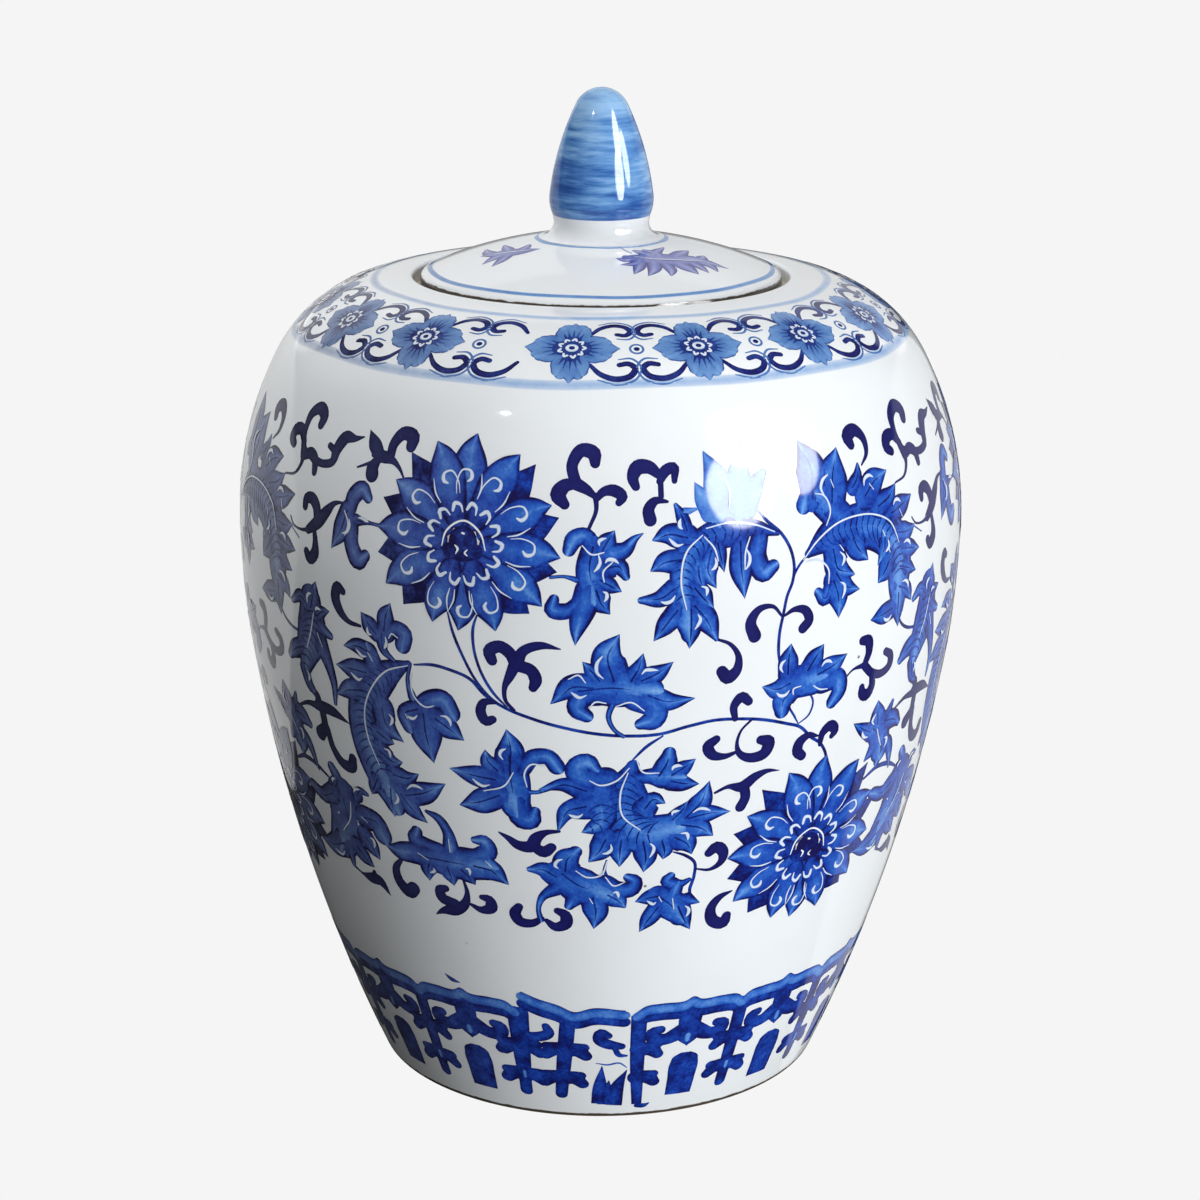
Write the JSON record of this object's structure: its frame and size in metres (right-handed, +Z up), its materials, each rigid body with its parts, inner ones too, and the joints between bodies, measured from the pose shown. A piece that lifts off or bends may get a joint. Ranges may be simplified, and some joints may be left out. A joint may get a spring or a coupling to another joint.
{
  "type": "ginger jar",
  "caption": "Tall round-shouldered porcelain jar, narrowing to a small foot, with a shallow domed lid that sits inside its mouth and an acorn knob; blue-and-white flower decoration.",
  "frame": {"origin": "centre of the foot ring on the surface the jar stands on", "axes": "+Z up along the jar's axis of symmetry; -Y is the side with the lotus flowers facing the viewer"},
  "size_m": [0.2214, 0.2214, 0.3014],
  "materials": {
    "white_porcelain": "glossy, slightly blue clear glaze with underglaze blue decoration",
    "blue_glaze": "glossy brushed cobalt wash",
    "bare_clay": "matt unglazed porcelain"
  },
  "bodies": {
    "jar": {"jar_body": "white_porcelain", "seat_ring": "bare_clay"},
    "lid": {"lid_dome": "white_porcelain", "lid_collar": "bare_clay", "knob_neck": "white_porcelain", "knob_acorn": "blue_glaze"}
  },
  "joints": [
    {"name": "lid_lift", "type": "slide", "parent": "jar", "child": "lid", "axis": [0, 0, 1], "range_m": [0, 0.12]}
  ]
}
